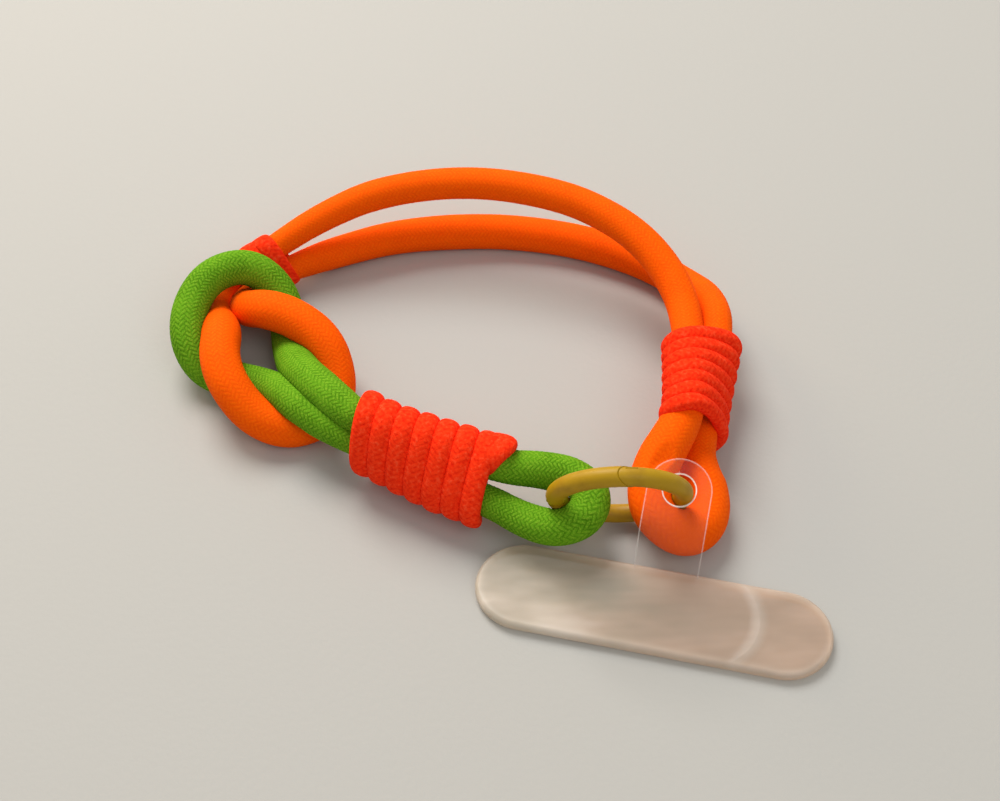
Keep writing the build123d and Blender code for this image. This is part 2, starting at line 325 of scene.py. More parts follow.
def braid_material(name, colour, groove, light, depth):
    """Round braid: floats in the rope's colour, grooves darkened by painted shade, lighter flecks
    that are partly painted highlight, fine yarns and a soft skin.
    """
    graph = Graph(name)
    along, around = graph.map("cells")
    height, yarns = braid_height(graph, along, around)
    wear = graph.noise(260.0, 2.0)
    fuzz = graph.noise(4200.0, 2.0)
    # Painted shade: the groove colour where the braid's height is low, with random tone from noise
    # mixed in.
    groove_shade_and_tone = graph.smooth(height + (wear - 0.5) * 1.4 + (fuzz - 0.5) * 0.8, -0.3, 1.0)
    base = graph.blend(groove_shade_and_tone, groove, colour)
    # Lighter flecks: partly random yarn flecks, partly painted highlight on the raised fuzz and
    # float tops.
    flecks_and_highlight = graph.smooth(fuzz + height * 0.12, 0.60, 0.74)
    base = graph.blend(flecks_and_highlight * 0.5, base, light)
    relief = height + yarns * 0.08 + fuzz * 0.45
    return graph.output(graph.principled(
        Base_Color=base, Roughness=0.82 - 0.08 * height, Normal=graph.bump(relief, depth),
        Specular_IOR_Level=0.05))


def cord_material(name, colour, groove, light):
    """Soft knitted cord: lumpy, fuzzy and matt, with painted shade in its hollows and painted
    highlight on its raised lumps.
    """
    graph = Graph(name)
    along, around = graph.map("cells")
    height, yarns = braid_height(graph, along, around)
    lumps = graph.noise(1500.0, 3.0)
    fuzz = graph.noise(6500.0, 2.0)
    # Painted shade: the shade colour where lumps and braid are low, which also gives random tone.
    groove_shade_and_tone = graph.smooth(height * 0.22 + lumps, 0.25, 0.75)
    base = graph.blend(groove_shade_and_tone, groove, colour)
    # Painted highlight: the light colour on the highest lumps, which the bump raises too.
    base = graph.blend(graph.smooth(lumps, 0.52, 0.72) * 0.5, base, light)
    relief = height * 0.18 + lumps * 1.1 + fuzz * 0.3
    return graph.output(graph.principled(
        Base_Color=base, Roughness=0.92, Normal=graph.bump(relief, 0.00011),
        Specular_IOR_Level=0.06))


def coat_material(name, colour, worn):
    """Satin coat over wire: a slight orange peel, darker where it has been rubbed."""
    graph = Graph(name)
    rub = graph.noise(180.0, 4.0, 0.6)
    peel = graph.noise(2600.0, 2.0)
    base = graph.blend(graph.smooth(rub, 0.45, 0.75) * 0.6, colour, worn)
    return graph.output(graph.principled(
        Base_Color=base, Roughness=0.42 + 0.2 * rub, Specular_IOR_Level=0.28,
        Coat_Weight=0.06, Coat_Roughness=0.25, Normal=graph.bump(peel, 0.00002)))


def steel_material(name):
    """Plain drawn steel with fine lines."""
    graph = Graph(name)
    lines = graph.noise(1500.0, 3.0, stretch=(1, 6, 1))
    base = graph.blend(lines, (0.42, 0.43, 0.45), (0.66, 0.66, 0.68))
    return graph.output(graph.principled(
        Base_Color=base, Metallic=1.0, Roughness=0.22 + 0.2 * lines,
        Normal=graph.bump(lines, 0.00002)))


def clear_material(name, tint):
    """Clear soft sheet: seen through, with a faint veil and a glossy skin."""
    graph = Graph(name)
    ripple = graph.noise(90.0, 2.0)
    skin = graph.bump(ripple, 0.0003)
    veil = graph.principled(Base_Color=rgba(tint), Roughness=0.08 + 0.08 * ripple, Normal=skin,
                            Specular_IOR_Level=0.6)
    through = graph.add("ShaderNodeBsdfTransparent", {}, {"Color": (0.985, 0.98, 0.975, 1)})
    share = 0.008 + 0.014 * ripple
    return graph.output(graph.add("ShaderNodeMixShader", {}, {0: share, 1: through, 2: veil}))


def glowing_edge_material(name, tint, strength):
    """The cut edge of the clear sheet, with a painted glow: a faint emission in the sheet's tint.
    """
    graph = Graph(name)
    nick = graph.noise(1400.0, 2.0)
    # Painted glow: a faint emission in the sheet's tint, and on the hole rim a larger share of it.
    body = graph.principled(Base_Color=graph.blend(nick, tint, (1.0, 0.98, 0.95)),
                            Roughness=0.15 + 0.15 * nick, Emission_Color=rgba(tint),
                            Emission_Strength=0.06)
    through = graph.add("ShaderNodeBsdfTransparent", {}, {"Color": (1, 1, 1, 1)})
    return graph.output(graph.add("ShaderNodeMixShader", {},
                                  {0: (0.7 + 0.6 * nick) * strength, 1: through, 2: body}))


def frosted_material(name, tint, cloud, warm):
    """Frosted plate: cloudy, half seen through, with a painted highlight on a curved ridge near
    one end, a painted reflection of the ropes' warm colour towards its right half and a lighter
    painted rim.

    Its map is in millimetres from the pad's middle, +X along the pad.
    """
    graph = Graph(name)
    end_radius, straight = 500 * PAD_WIDTH, 500 * (PAD_LENGTH - PAD_WIDTH)
    x, y = graph.map("cells")
    # Painted highlight: a lighter curved arc near the right end, which the bump also raises as a
    # ridge.
    highlight_centre, highlight_radius = (8.2, 0.2), 9.6
    across, down = x - highlight_centre[0], y - highlight_centre[1]
    from_centre = graph.math("SQRT", across * across + down * down)
    from_highlight = graph.math("ABSOLUTE", from_centre - highlight_radius)
    line = (1.0 - graph.smooth(from_highlight, -0.3, 2.0)) * graph.smooth(x, 12.5, 16.5)
    mist = graph.noise(55.0, 3.0, 0.55, stretch=(0.6, 1.6, 1))
    grain = graph.noise(4200.0, 2.0)
    base = graph.blend(graph.smooth(mist, 0.32, 0.70), tint, cloud)
    # Painted reflection: a warm tint of the orange ropes towards the pad's right half, broken up
    # by the mist.
    reflection_tint_mask = graph.smooth(x + (mist - 0.5) * 30.0, -16.0, 6.0)
    base = graph.blend(reflection_tint_mask * 0.5, base, warm)
    # Painted highlight from the arc, with lighter random clouds.
    bright = line * 0.40 + graph.smooth(mist, 0.58, 0.75) * 0.3
    base = graph.blend(bright, base, (0.95, 0.86, 0.76))
    # Painted light: the pad's border is lighter within 1.8 mm of its outline, and a little more
    # solid there.
    past = graph.math("MAXIMUM", graph.math("ABSOLUTE", x) - straight, 0.0)
    inside = end_radius - graph.math("SQRT", past * past + y * y)
    rim = 1.0 - graph.smooth(inside, 0.0, 1.8)
    base = graph.blend(rim * 0.28, base, (0.88, 0.80, 0.70))
    skin = graph.bump(mist * 5.0 + grain * 0.10 + line * 1.6, 0.00012)
    solid = graph.principled(Base_Color=base, Roughness=0.30 + 0.16 * mist, Normal=skin,
                             Subsurface_Weight=0.35, Subsurface_Radius=(0.004, 0.0035, 0.003),
                             Subsurface_Scale=1.0, Coat_Weight=0.2, Coat_Roughness=0.25)
    through = graph.add("ShaderNodeBsdfTransparent", {}, {"Color": (0.95, 0.90, 0.85, 1)})
    share = 0.42 + 0.20 * graph.smooth(mist, 0.3, 0.7) + 0.06 * rim
    return graph.output(graph.add("ShaderNodeMixShader", {}, {0: share, 1: through, 2: solid}))


def surface_material(name, colour):
    """Plain pale matt table."""
    graph = Graph(name)
    shade = graph.noise(3.0, 2.0)
    grain = graph.noise(900.0, 3.0)
    base = graph.blend(shade, colour, tuple(0.96 * c for c in colour))
    return graph.output(graph.principled(
        Base_Color=base, Roughness=0.65 + 0.1 * grain, Normal=graph.bump(grain, 0.00004),
        Specular_IOR_Level=0.3))


# ------------------------------------------------------------------ meshes
def spline_line(name, places):
    """Points along the smooth NURBS line that has these places as control points."""
    curve = bpy.data.curves.new(name, "CURVE")
    curve.dimensions = "3D"
    curve.resolution_u = 24
    spline = curve.splines.new("NURBS")
    spline.points.add(len(places) - 1)
    for point, place in zip(spline.points, places):
        point.co = (*place, 1.0)
    spline.order_u = 3
    spline.use_endpoint_u = True
    carrier = bpy.data.objects.new(name, curve)
    mesh = bpy.data.meshes.new_from_object(carrier)
    line = np.array([vertex.co for vertex in mesh.vertices])
    bpy.data.objects.remove(carrier)
    bpy.data.curves.remove(curve)
    bpy.data.meshes.remove(mesh)
    return line


def run_along(line):
    """Distance from a line's start to each of its points."""
    steps = np.linalg.norm(np.diff(line, axis=0), axis=1)
    return np.concatenate([[0.0], np.cumsum(steps)])


def evenly(line, spacing, *values):
    """The line, and values that go with its points, at even spacing."""
    along = run_along(line)
    at = np.linspace(0.0, along[-1], round(along[-1] / spacing) + 1)
    even = np.stack([np.interp(at, along, line[:, axis]) for axis in range(3)], axis=1)
    return [at, even] + [np.interp(at, along, value) for value in values]


def unit(vectors):
    return vectors / np.linalg.norm(vectors, axis=-1, keepdims=True)


def carried_normals(tangents):
    """A sideways direction carried along a line without twist."""
    normal = np.cross(tangents[0], (0.0, 0.0, 1.0))
    normals = []
    for tangent in tangents:
        normal = normal - tangent * normal.dot(tangent)
        normal = normal / np.linalg.norm(normal)
        normals.append(normal)
    return np.array(normals)


def braid_relief(along, around):
    """Height of a two-over-two braid, 0 in a groove and 1 on a float."""
    first, second = around + along, around - along
    first_whole, second_whole = np.floor(first), np.floor(second)
    on_top = np.mod(first_whole + second_whole, 4) < 2
    across = np.where(on_top, first - first_whole, second - second_whole) - 0.5
    run = np.where(on_top, np.mod(first_whole + second, 4), np.mod(second_whole + first, 4) - 2)
    return (1 - 4 * across ** 2) * (1 - 1.6 * (run / 2 - 0.5) ** 2)


def tube_object(name, rings, along_cells, carriers):
    """A closed mesh from rings of points, with a UV map that counts braid cells."""
    count, sides = rings.shape[:2]
    ring, side = np.meshgrid(np.arange(count - 1), np.arange(sides), indexing="ij")
    beside = (side + 1) % sides
    quads = np.stack([ring * sides + side, ring * sides + beside,
                      (ring + 1) * sides + beside, (ring + 1) * sides + side], axis=-1)
    faces = quads.reshape(-1, 4).tolist()
    faces.append(list(range(sides))[::-1])
    faces.append(list(range((count - 1) * sides, count * sides)))
    mesh = bpy.data.meshes.new(name)
    mesh.from_pydata(rings.reshape(-1, 3).tolist(), [], faces)
    cell = carriers / sides
    near, far = along_cells[ring], along_cells[ring + 1]
    corner = np.stack([np.stack([near, side * cell], -1), np.stack([near, (side + 1) * cell], -1),
                       np.stack([far, (side + 1) * cell], -1), np.stack([far, side * cell], -1)],
                      axis=-2)
    flat = np.zeros((len(mesh.loops), 2))
    flat[:quads.size] = corner.reshape(-1, 2)
    mesh.uv_layers.new(name="cells").data.foreach_set("uv", flat.ravel())
    mesh.polygons.foreach_set("use_smooth", [True] * len(mesh.polygons))
    mesh.update()
    piece = bpy.data.objects.new(name, mesh)
    bpy.context.scene.collection.objects.link(piece)
    return piece


class Rope:
    """One rope's even centre line, its frames and its girth along the line."""

    def __init__(self, name, route, girth, cell):
        self.name = name
        line = spline_line(name, np.array(route) + LAYOUT_SHIFT)
        place = np.linspace(0, len(route) - 1, len(line))
        radius = np.interp(place, list(girth), list(girth.values()))
        self.along, self.line, self.radius = evenly(line, cell / CELL_POINTS, radius)
        self.tangents = unit(np.gradient(self.line, axis=0))
        self.normals = carried_normals(self.tangents)
        self.sides = np.cross(self.tangents, self.normals)

    def nearest(self, place):
        """The rope's line and girth where it is nearest to a place."""
        index = np.argmin(np.linalg.norm(self.line - place, axis=1))
        return self.line[index], self.radius[index]

    def outward(self, count):
        """Directions from the line to the points of each ring."""
        turn = np.arange(count) * tau / count
        return (self.normals[:, None] * np.cos(turn)[None, :, None]
                + self.sides[:, None] * np.sin(turn)[None, :, None])


def squeeze(rope, ropes, outward):
    """Each ring point's distance from the line, where soft ropes press each other flat."""
    reach = np.repeat(rope.radius[:, None], outward.shape[1], axis=1)
    for other in ropes:
        some = slice(None, None, 4)
        line, radius, along = other.line[some], other.radius[some], other.along[some]
        for index, (centre, girth) in enumerate(zip(rope.line, rope.radius)):
            gap = line - centre
            distance = np.linalg.norm(gap, axis=1)
            near = distance < girth + radius
            if other is rope:
                near &= np.abs(along - rope.along[index]) > OWN_SPAN
            if near.any():
                toward = gap[near] @ outward[index].T
                level = (distance[near] ** 2 + girth ** 2 - radius[near] ** 2)[:, None] / 2
                limit = np.where(toward > 1e-6, level / np.maximum(toward, 1e-6), 1.0)
                reach[index] = np.minimum(reach[index], limit.min(axis=0))
    return np.maximum(reach, LEAST_GIRTH * rope.radius[:, None])


def turned(points, joint, share):
    """Points turned about a joint by a share of its range."""
    centre, axis, span = joint
    away = points - centre
    along = (away @ axis)[..., None] * axis
    angle = span * share
    return centre + along + (away - along) * cos(angle) + np.cross(axis, away) * sin(angle)


def clear_of_ring(points):
    """Pushes points out of the ring's wire, at each of its tilt stops."""
    across = np.array((0.0, cos(RING_LEAN), sin(RING_LEAN)))
    for share in TILT_STOPS:
        points = turned(points, TILT, -share)
        flat = points - RING_CENTRE
        flat = flat - (flat @ across)[..., None] * across
        nearest = RING_CENTRE + unit(flat) * RING_RADIUS
        away = points - nearest
        distance = np.linalg.norm(away, axis=-1, keepdims=True)
        wanted = RING_WIRE / 2 + RING_CLEAR
        points = np.where(distance < wanted, nearest + away / distance * wanted, points)
        points = turned(points, TILT, share)
    return points


def clear_of_neck(points):
    """Presses points down to below the clear neck, at each end of the tilt and the lift."""
    turn = np.array(tab_place().inverted())
    path = neck_path()
    end = unit(path[-1] - path[-2])
    hole = path[-1]
    path = np.vstack([path, hole + end * 0.02])
    for tilt, lift in ((1, 1), (1, 0), (0, 1), (0, 0)):
        points = turned(turned(points, TILT, -tilt), LIFT, -lift)
        local = points @ turn[:3, :3].T + turn[:3, 3]
        ceiling = np.interp(local[..., 1], path[:, 0], path[:, 1]) - NECK_THICK - NECK_CLEAR
        beyond = np.maximum(local[..., 1] - hole[0], 0) / end[0]
        outside = np.hypot(local[..., 0] - NECK_PLACE, beyond) - NECK_HALF - NECK_CLEAR
        ceiling = ceiling + CEILING_SLOPE * np.maximum(outside, 0)
        under = (local[..., 1] > NECK_SIDE[2][0]) & (local[..., 2] < ceiling + CEILING_REACH)
        local[..., 2] = np.where(under, np.minimum(local[..., 2], ceiling), local[..., 2])
        points = (local - turn[:3, 3]) @ turn[:3, :3]
        points = turned(turned(points, LIFT, lift), TILT, tilt)
    return points


def ride_as_cord(piece, node, diameter):
    """The piece stands for its CAD solid: it hangs from the strap's body and the solid is hidden.
    """
    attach(piece, "strap")
    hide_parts(node)


# --------------------------------------------------------------- windings
def winding_places(plan, rope):
    """Control places of a cord wound round a pair of ropes, its ends tucked between them."""
    start, end = np.array(plan["start"]) + LAYOUT_SHIFT, np.array(plan["end"]) + LAYOUT_SHIFT
    axis = unit(np.array(plan["faces"]))
    first, last = plan["begins"], plan["ends"]
    places, outs = [], []
    for angle in np.arange(first, last + 0.5, 360 / TURN_PLACES):
        t = (angle - plan["facing"]) / 360 / (plan["turns"] - 1)
        stack = np.array(plan["stack_start"]) * (1 - t) + np.array(plan["stack_end"]) * t
        guess = start * (1 - t) + end * t
        upper, upper_girth = rope.nearest(guess + stack)
        lower, lower_girth = rope.nearest(guess - stack)
        half = (upper - lower) / 2
        half = half - axis * half.dot(axis)
        middle = (upper + lower) / 2 - guess
        over = np.clip((angle - last + plan["upper_only"]) / 90, 0, 1)
        centre = guess + middle - axis * middle.dot(axis) + half * over
        centre = centre + axis * np.interp(angle - last, *plan["slip"])
        apart = np.linalg.norm(half) * (1 - over)
        up = unit(half)
        side = np.cross(axis, up)
        phi = radians(angle) * plan["hand"]
        out = up * cos(phi) + side * sin(phi)
        tuck = min(angle - first, last - angle) / TUCK_SPAN
        depth = min(1.0, TUCK_DEPTH + (1 - TUCK_DEPTH) * tuck)
        reach = (upper_girth + lower_girth + plan["thickness"]) / 2
        stretch = np.clip(cos(phi) * 1.6, -1, 1) * apart
        places.append(centre + up * stretch + out * reach * depth)
        outs.append(out)
    return np.array(places), np.array(outs)


# --------------------------------------------------------------------- tab
def tab_place():
    """From the tab's own axes, +X along the pad and +Y towards the neck, to the frame."""
    return Matrix.Translation(PAD_CENTRE) @ Matrix.Rotation(PAD_TURN, 4, "Z")


def pad_rings(thick, edge):
    """A round-ended plate with soft edges, from the middle of its underside to its top's."""
    radius, half = PAD_WIDTH / 2, (PAD_LENGTH - PAD_WIDTH) / 2
    turn = np.linspace(-pi / 2, pi / 2, 41)
    slide = np.linspace(half, -half, 61)[1:-1]
    heart = np.concatenate([turn * 0 + half, slide, turn * 0 - half, -slide])
    angle = np.concatenate([turn, slide * 0 + pi / 2, turn + pi, slide * 0 - pi / 2])
    bend = np.linspace(0, pi / 2, 9)
    inset = np.concatenate([[radius, radius / 2], edge * (1 - np.sin(bend)),
                            edge * (1 - np.cos(bend)), [radius * 0.35, radius * 0.65, radius]])
    level = np.concatenate([[0, 0], edge * (1 - np.cos(bend)), thick - edge * (1 - np.sin(bend)),
                            [thick, thick, thick]])
    reach = np.clip(radius - inset, 1e-6, None)[:, None]
    x = heart + reach * np.cos(angle)
    y = reach * np.sin(angle)
    return np.stack([x, y, np.broadcast_to(level[:, None], x.shape)], axis=-1)


def rounded_path(corners, radii, step):
    """Points along straight runs joined by arcs."""
    corners = np.array(corners)
    points = [corners[0]]
    for before, here, after, radius in zip(corners, corners[1:], corners[2:], radii):
        run_in, run_out = unit(here - before), unit(after - here)
        turn = np.arccos(run_in.dot(run_out))
        inward = unit(run_out - run_in)
        centre = here + inward * radius / cos(turn / 2)
        count = max(3, round(radius * turn / step))
        for part in np.linspace(-0.5, 0.5, count):
            across = unit(run_in + run_out)
            points.append(centre - inward * radius * cos(part * turn)
                          + across * radius * sin(part * turn))
    points.append(corners[-1])
    return np.array(points)


def neck_path():
    """The neck's side view as points: out from the pad's middle line, and height."""
    return rounded_path(NECK_SIDE, NECK_BENDS, 0.0003)


def neck_mesh(name):
    """The clear neck: a bent strip with a round head, a hole and a soft rim.

    Every point has a place across the sheet, a place along it from the hole
    and a level through its thickness; bending comes last.
    """
    path = neck_path()
    length = run_along(np.column_stack([path, path[:, :1] * 0]))
    sheet, rim = NECK_HALF, NECK_RIM
    count = HEAD_POINTS
    turn = np.arange(count) * tau / count
    corner = np.maximum(np.abs(np.cos(turn)), np.abs(np.sin(turn)))
    outline = np.where(np.sin(turn) > 0, 1.0, 1 / corner)
    foot = np.nonzero(np.sin(turn) < -0.7072 + 1e-3)[0]
    tail = np.linspace(-sheet, -length[-1], STRIP_ROWS)[1:]

    def surface(inset, level):
        """Places of one skin: rings from the hole to the outline, then the strip's rows."""
        reach, hole = (sheet - inset) * outline, HOLE_RADIUS + inset
        share = np.linspace(0, 1, HEAD_RINGS + 1)[:, None]
        radius = hole * (1 - share) + reach * share
        rings = np.stack([radius * np.cos(turn), radius * np.sin(turn)], -1).reshape(-1, 2)
        across = reach[foot] * np.cos(turn[foot])
        rows = np.stack(np.broadcast_arrays(across[None], tail[:, None]), -1).reshape(-1, 2)
        flat = np.concatenate([rings, rows])
        return np.column_stack([flat, np.full(len(flat), level)])

    half = NECK_THICK / 2
    layers = [surface(rim, -half), surface(rim * 0.3, -half + rim * 0.3), surface(0, -half + rim),
              surface(0, half - rim), surface(rim * 0.3, half - rim * 0.3), surface(rim, half)]
    total, last_ring, gaps = len(layers[0]), HEAD_RINGS * count, len(layers) - 1
    skin = [[ring * count + k, ring * count + (k + 1) % count,
             (ring + 1) * count + (k + 1) % count, (ring + 1) * count + k]
            for ring in range(HEAD_RINGS) for k in range(count)]
    width = len(foot)
    rows = [last_ring + foot] + [last_ring + count + row * width + np.arange(width)
                                 for row in range(len(tail))]
    skin += [[int(a[k]), int(a[k + 1]), int(b[k + 1]), int(b[k])]
             for a, b in zip(rows, rows[1:]) for k in range(width - 1)]
    around = [last_ring + k for k in range(foot[-1], count)] + [
        last_ring + k for k in range(foot[0] + 1)]
    outer = around + [int(row[0]) for row in rows[1:]] + [int(k) for k in rows[-1][1:]] + [
        int(row[-1]) for row in rows[-2:0:-1]]
    loops = [list(range(count))[::-1], outer]
    faces = skin + [[k + gaps * total for k in face[::-1]] for face in skin]
    rim_from = len(faces)
    edge_from = rim_from + gaps * count
    for loop in loops:
        for level in range(gaps):
            low, high = level * total, (level + 1) * total
            faces += [[low + a, low + b, high + b, high + a]
                      for a, b in zip(loop, loop[1:] + loop[:1])]
    flat = np.concatenate(layers)
    at = flat[:, 1] + length[-1]
    out_at = np.interp(at, length, path[:, 0])
    high_at = np.interp(at, length, path[:, 1])
    end = unit(path[-1] - path[-2])
    beyond = np.maximum(at - length[-1], 0)
    slope = unit(np.gradient(path, axis=0))
    lean = np.stack([np.interp(at, length, slope[:, 0]), np.interp(at, length, slope[:, 1])], -1)
    lean = unit(lean)
    points = np.stack([NECK_PLACE + flat[:, 0],
                       out_at + end[0] * beyond - lean[:, 1] * flat[:, 2],
                       high_at + end[1] * beyond + lean[:, 0] * flat[:, 2]], -1)
    mesh = bpy.data.meshes.new(name)
    mesh.from_pydata(points.tolist(), [], faces)
    mesh.polygons.foreach_set("use_smooth", [True] * len(faces))
    sheet_finish, edge_finish, rim_finish = 0, 1, 2
    finish = [sheet_finish if k < rim_from else rim_finish if k < edge_from else edge_finish
              for k in range(len(faces))]
    mesh.polygons.foreach_set("material_index", finish)
    mesh.update()
    return mesh


# --------------------------------------------------------------- settings
class RopeSettings(PropertyGroup):
    """Sizes and colours of the two braided ropes."""

    orange: FloatVectorProperty(
        name="Orange", description="Colour of the wrist loop's rope", subtype="COLOR",
        default=(0.95, 0.106, 0.0), min=0, max=1)
    # Painted shade between the orange braid's floats.
    orange_groove_shade: FloatVectorProperty(
        name="Orange groove", description="Colour between the floats of the orange braid",
        subtype="COLOR", default=(0.88, 0.084, 0.0), min=0, max=1)
    green: FloatVectorProperty(
        name="Green", description="Colour of the link's rope", subtype="COLOR",
        default=(0.128, 0.335, 0.010), min=0, max=1)
    # Painted shade between the green braid's floats.
    green_groove_shade: FloatVectorProperty(
        name="Green groove", description="Colour between the floats of the green braid",
        subtype="COLOR", default=(0.062, 0.19, 0.003), min=0, max=1)
    carriers: IntProperty(
        name="Carriers", description="Strands of the braid that go each way round the rope",
        default=20, min=8, max=32)
    pick: FloatProperty(
        name="Pick", description="Distance from one strand to the next along the rope",
        default=0.00085, unit="LENGTH", min=0.0005, max=0.003)
    relief: FloatProperty(
        name="Relief", description="Height of the green braid's floats over its grooves",
        default=0.00006, unit="LENGTH", min=0, max=0.001)
    orange_relief: FloatProperty(
        name="Orange relief", description="Height of the orange braid's floats over its grooves",
        default=0.00002, unit="LENGTH", min=0, max=0.001)


class WindingSettings(PropertyGroup):
    """Sizes and colours of the wound cord."""

    colour: FloatVectorProperty(
        name="Red", description="Colour of the winding cord", subtype="COLOR",
        default=(0.98, 0.040, 0.006), min=0, max=1)
    # Painted shade in the cord's hollows.
    groove: FloatVectorProperty(
        name="Red shade", description="Colour in the hollows of the winding cord",
        subtype="COLOR", default=(0.76, 0.012, 0.002), min=0, max=1)
    swell: FloatProperty(
        name="Swell", description="How far the cord's strands swell it, as a share of its size",
        default=0.02, min=0, max=0.2)


class RingSettings(PropertyGroup):
    """Finish of the spring gate ring."""

    coat: FloatVectorProperty(
        name="Coat", description="Colour of the ring's coat", subtype="COLOR",
        default=(0.42, 0.242, 0.0), min=0, max=1)
    worn: FloatVectorProperty(
        name="Worn coat", description="Colour of the coat where it is rubbed",
        subtype="COLOR", default=(0.27, 0.135, 0.0), min=0, max=1)


class TabSettings(PropertyGroup):
    """Sizes and colours of the tether tab."""

    neck_tint: FloatVectorProperty(
        name="Neck veil", description="Faint veil of the clear neck", subtype="COLOR",
        default=(0.86, 0.80, 0.76), min=0, max=1)
    pad_tint: FloatVectorProperty(
        name="Pad", description="Colour of the frosted pad", subtype="COLOR",
        default=(0.50, 0.43, 0.30), min=0, max=1)
    pad_cloud: FloatVectorProperty(
        name="Pad cloud", description="Colour of the clouds in the frosted pad",
        subtype="COLOR", default=(0.64, 0.53, 0.41), min=0, max=1)
    # Painted reflection of the orange ropes, towards the pad's right half.
    pad_reflection_tint: FloatVectorProperty(
        name="Pad glow", description="Warmer colour of the frosted pad towards its right half",
        subtype="COLOR", default=(0.66, 0.38, 0.26), min=0, max=1)
    pad_edge: FloatProperty(
        name="Pad edge", description="Rounding of the pad's edges",
        default=0.0008, unit="LENGTH", min=0.0001, max=0.001)


class StageSettings(PropertyGroup):
    """Floor, light and camera."""

    floor: FloatVectorProperty(
        name="Floor", description="Colour of the floor", subtype="COLOR",
        default=(0.440, 0.432, 0.402), min=0, max=1)
    elevation: FloatProperty(
        name="Elevation", description="The camera's angle above the floor",
        default=radians(50), unit="ROTATION", min=0, max=pi / 2)
    distance: FloatProperty(
        name="Distance", description="From the camera to the strap", default=0.300,
        unit="LENGTH", min=0.05, max=5)
    lens: FloatProperty(
        name="Lens", description="Focal length in millimetres on a 36 mm sensor",
        default=58.3, min=10, max=300)


# -------------------------------------------------------------- operators
class STRAP_OT_stage(Operator):
    """Lay the floor, hang the lights and place the camera"""

    bl_idname = "strap.stage"
    bl_label = "Stage"

    def execute(self, context):
        settings = context.scene.strap_stage
        mesh = bpy.data.meshes.new("floor")
        corners = [(-FLOOR_HALF, -FLOOR_HALF, 0), (FLOOR_HALF, -FLOOR_HALF, 0),
                   (FLOOR_HALF, FLOOR_HALF, 0), (-FLOOR_HALF, FLOOR_HALF, 0)]
        mesh.from_pydata(corners, [], [(0, 1, 2, 3)])
        floor = bpy.data.objects.new("floor", mesh)
        context.scene.collection.objects.link(floor)
        mesh.materials.append(surface_material("pale table", settings.floor))

        target = Vector(LAYOUT_SHIFT)
        back = Vector((0, -cos(settings.elevation), sin(settings.elevation)))
        camera = bpy.data.objects.new("camera", bpy.data.cameras.new("camera"))
        context.scene.collection.objects.link(camera)
        camera.data.lens = settings.lens
        camera.data.clip_start = 0.01
        camera.location = target + back * settings.distance
        camera.rotation_euler = back.to_track_quat("Z", "Y").to_euler()
        context.scene.camera = camera

        for name, place, size, power, colour in LIGHTS:
            data = bpy.data.lights.new(name, "AREA")
            data.shape = "DISK"
            data.size = size
            data.energy = power
            data.color = colour
            light = bpy.data.objects.new(name, data)
            light.location = place
            light.rotation_euler = (Vector(place) - target).to_track_quat("Z", "Y").to_euler()
            context.scene.collection.objects.link(light)
        world = bpy.data.worlds.new("pale room")
        world.use_nodes = True
        background = world.node_tree.nodes["Background"]
        background.inputs["Color"].default_value = ROOM_COLOUR
        background.inputs["Strength"].default_value = ROOM_STRENGTH
        context.scene.world = world
        context.scene.view_settings.view_transform = "Standard"
        return {"FINISHED"}


class STRAP_OT_ropes(Operator):
    """Braid the orange and the green rope along their routes"""

    bl_idname = "strap.ropes"
    bl_label = "Ropes"

    def execute(self, context):
        settings = context.scene.strap_ropes
        orange = Rope("orange_braid_rope", ORANGE_ROUTE, ORANGE_GIRTH, settings.pick)
        green = Rope("green_braid_rope", GREEN_ROUTE, GREEN_GIRTH, settings.pick)
        # Each braid's third colour lightens its flecks: partly yarn colour, partly painted
        # highlight.
        finishes = (
            (orange, "orange_rope", "orange_braid",
             braid_material("orange braid", settings.orange, settings.orange_groove_shade,
                            (1.0, 0.16, 0.001), 0.00003), settings.orange_relief),
            (green, "green_rope", "green_braid",
             braid_material("green braid", settings.green, settings.green_groove_shade,
                            (0.30, 0.48, 0.03), 0.00007), settings.relief),
        )
        sides = settings.carriers * CELL_POINTS
        for rope, node, material_slot, material, depth in finishes:
            outward = rope.outward(sides)
            reach = squeeze(rope, (orange, green), outward)
            cells = rope.along / settings.pick
            around = np.arange(sides) * settings.carriers / sides
            relief = braid_relief(cells[:, None], around[None, :])
            reach = reach + depth * (relief - 0.5)
            rings = rope.line[:, None] + outward * reach[:, :, None]
            rings = clear_of_ring(clear_of_neck(rings))
            rings[..., 2] = np.maximum(rings[..., 2], FLOOR_GAP)
            piece = tube_object(rope.name, rings, cells, settings.carriers)
            piece.data.materials.append(material)
            ride_as_cord(piece, node, ROPE)
        return {"FINISHED"}


